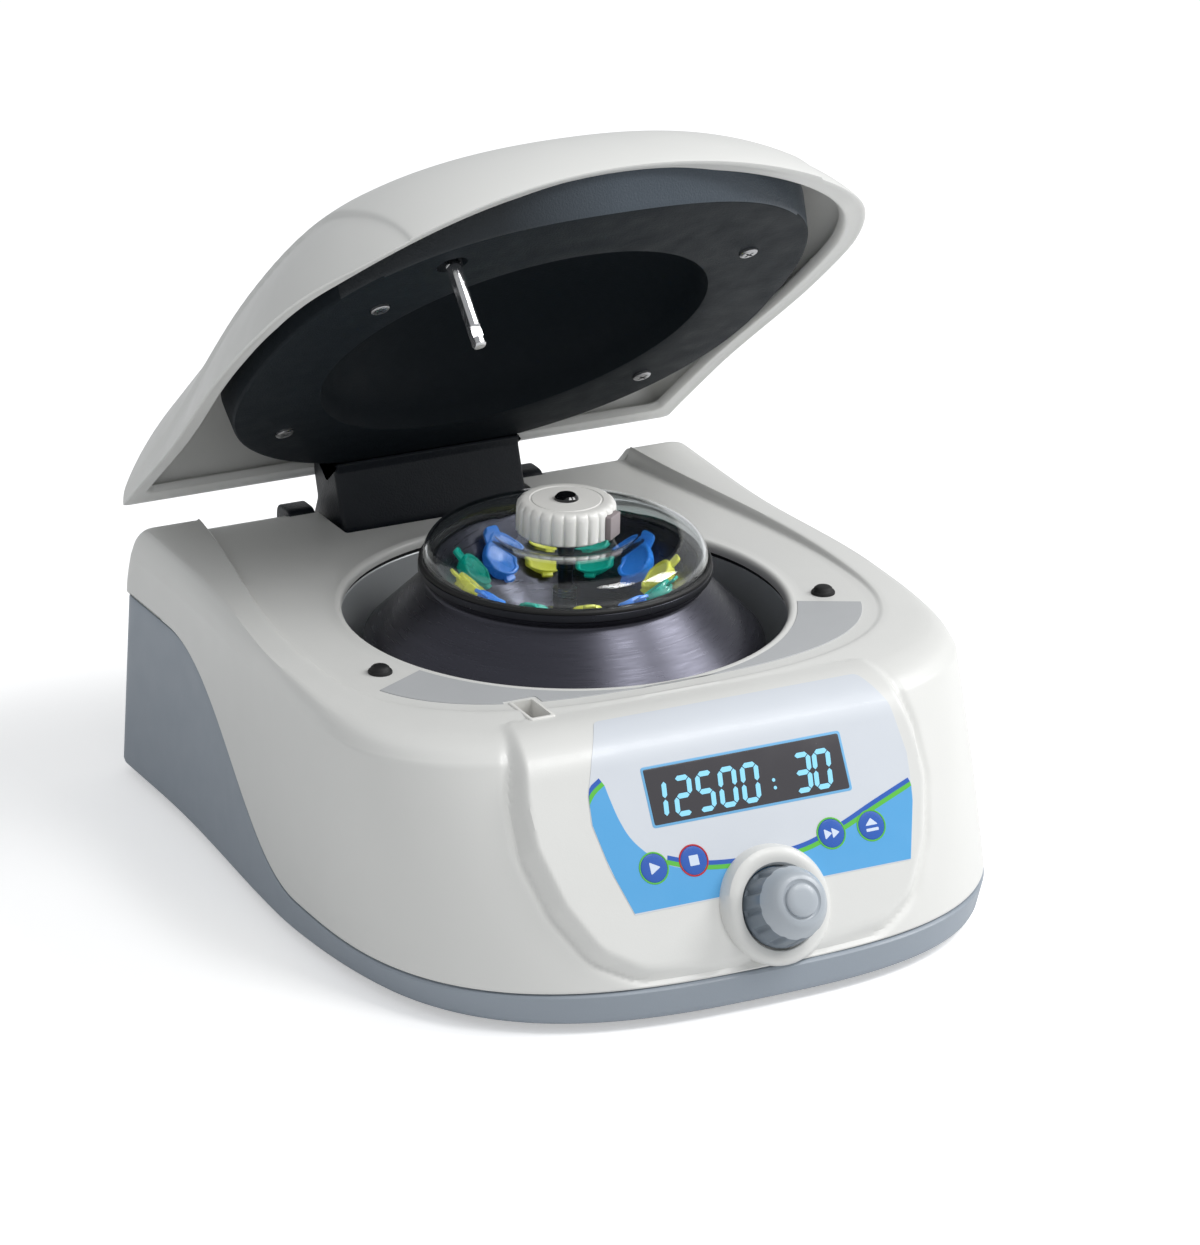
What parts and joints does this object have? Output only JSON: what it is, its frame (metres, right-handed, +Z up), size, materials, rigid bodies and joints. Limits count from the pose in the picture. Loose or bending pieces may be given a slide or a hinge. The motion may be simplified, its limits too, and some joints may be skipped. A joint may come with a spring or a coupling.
{
  "type": "microcentrifuge",
  "caption": "Benchtop microcentrifuge with a hinged domed lid, an angle rotor under a clear cover, and a sloping control panel with a dial.",
  "frame": {"origin": "on the rotor axis, at the height of the bench", "axes": "+Z up along the rotor axis, the control panel faces -Y, +X to the operator's right"},
  "size_m": [0.2348, 0.293, 0.2566],
  "materials": {
    "housing_white": "warm off-white moulded ABS, fine satin",
    "housing_grey": "mid grey moulded ABS, fine texture",
    "liner_black": "blue-black moulded plastic with a fine grain",
    "rubber_black": "black rubber",
    "rotor_black": "black anodised aluminium",
    "bowl_steel": "plain steel bowl",
    "steel": "bare steel",
    "bright_steel": "polished steel pin",
    "motor_grey": "grey motor can",
    "board": "green circuit board",
    "supply": "varnished power transformer",
    "fascia_film": "pale printed membrane film with a plain blue band",
    "display_glass": "dark liquid crystal window",
    "button_blue": "blue membrane button with a coloured ring",
    "dial_grey": "mid grey satin knob",
    "label_grey": "bare grey label film",
    "trim_white": "white moulded plastic",
    "dome_clear": "clear polycarbonate dome",
    "tube_blue": "translucent blue polypropylene",
    "tube_green": "translucent green polypropylene",
    "tube_yellow": "translucent yellow polypropylene",
    "tab_mauve": "grey mauve plastic",
    "cap_black": "glossy black plastic"
  },
  "bodies": {
    "base": {"lower_housing": "housing_grey", "upper_housing": "housing_white", "housing_screws": "steel", "feet": "rubber_black", "bowl": "bowl_steel", "bowl_gasket": "rubber_black", "motor": "motor_grey", "motor_plate": "steel", "motor_mounts": "rubber_black", "plate_screws": "steel", "drive_board": "board", "power_supply": "supply", "power_inlet": "cap_black", "rocker_switch": "cap_black", "fascia": "fascia_film", "display_window": "display_glass", "display_board": "board", "dial_collar": "housing_white", "dial_encoder": "steel", "deck_label": "label_grey", "deck_bumpers": "rubber_black", "latch_frame": "trim_white", "latch_body": "liner_black", "hinge_brackets": "liner_black", "hinge_pin": "steel", "hinge_springs": "steel"},
    "lid": {"lid_shell": "housing_white", "lid_liner": "liner_black", "lid_arm": "liner_black", "liner_screws": "steel", "latch_pin": "bright_steel"},
    "rotor": {"drive_shaft": "steel", "rotor": "rotor_black", "rotor_nut": "steel", "tubes_blue": "tube_blue", "tubes_green": "tube_green", "tubes_yellow": "tube_yellow"},
    "rotor_cover": {"rotor_lid": "dome_clear", "rotor_lid_seal": "rubber_black"},
    "rotor_cover_knob": {"rotor_lid_knob": "trim_white", "knob_cap": "cap_black"},
    "lock_tab": {"lock_tab": "tab_mauve"},
    "dial": {"control_dial": "dial_grey"},
    "start_button": {"start_button": "button_blue"},
    "stop_button": {"stop_button": "button_blue"},
    "pulse_button": {"pulse_button": "button_blue"},
    "release_button": {"release_button": "button_blue"},
    "latch_slider": {"latch_slider": "steel"},
    "rocker_key": {"rocker_key": "cap_black"}
  },
  "joints": [
    {"name": "lid_hinge", "type": "hinge", "parent": "base", "child": "lid", "pos_m": [0, 0.119, 0.08], "axis": [1, 0, 0], "range_deg": [0, 42.6]},
    {"name": "rotor_spin", "type": "hinge", "parent": "base", "child": "rotor", "pos_m": [0, 0, 0.06], "axis": [0, 0, 1], "continuous": true},
    {"name": "rotor_cover_lift", "type": "slide", "parent": "rotor", "child": "rotor_cover", "axis": [0, 0, -1], "range_m": [-0.045, 0]},
    {"name": "cover_knob_turn", "type": "hinge", "parent": "rotor_cover", "child": "rotor_cover_knob", "pos_m": [0, 0, 0.12], "axis": [0, 0, 1], "range_deg": [-90, 0]},
    {"name": "lock_tab_press", "type": "slide", "parent": "rotor_cover_knob", "child": "lock_tab", "axis": [0.6157, -0.788, 0], "range_m": [-0.001, 0], "stiffness_N_per_m": 400},
    {"name": "dial_turn", "type": "hinge", "parent": "base", "child": "dial", "pos_m": [0.0072, -0.13861, 0.03037], "axis": [0, -0.8625, 0.506], "continuous": true},
    {"name": "start_button_press", "type": "slide", "parent": "base", "child": "start_button", "axis": [0, -0.8625, 0.506], "range_m": [-0.0008, 0], "stiffness_N_per_m": 600},
    {"name": "stop_button_press", "type": "slide", "parent": "base", "child": "stop_button", "axis": [0, -0.8625, 0.506], "range_m": [-0.0008, 0], "stiffness_N_per_m": 600},
    {"name": "pulse_button_press", "type": "slide", "parent": "base", "child": "pulse_button", "axis": [0, -0.8625, 0.506], "range_m": [-0.0008, 0], "stiffness_N_per_m": 600},
    {"name": "release_button_press", "type": "slide", "parent": "base", "child": "release_button", "axis": [0, -0.8625, 0.506], "range_m": [-0.0008, 0], "stiffness_N_per_m": 600},
    {"name": "latch_slide", "type": "slide", "parent": "base", "child": "latch_slider", "axis": [0, 1, 0], "range_m": [0, 0.0058], "stiffness_N_per_m": 300},
    {"name": "power_rocker", "type": "hinge", "parent": "base", "child": "rocker_key", "pos_m": [-0.024, 0.1226, 0.034], "axis": [1, 0, 0], "range_deg": [-6, 6]}
  ]
}
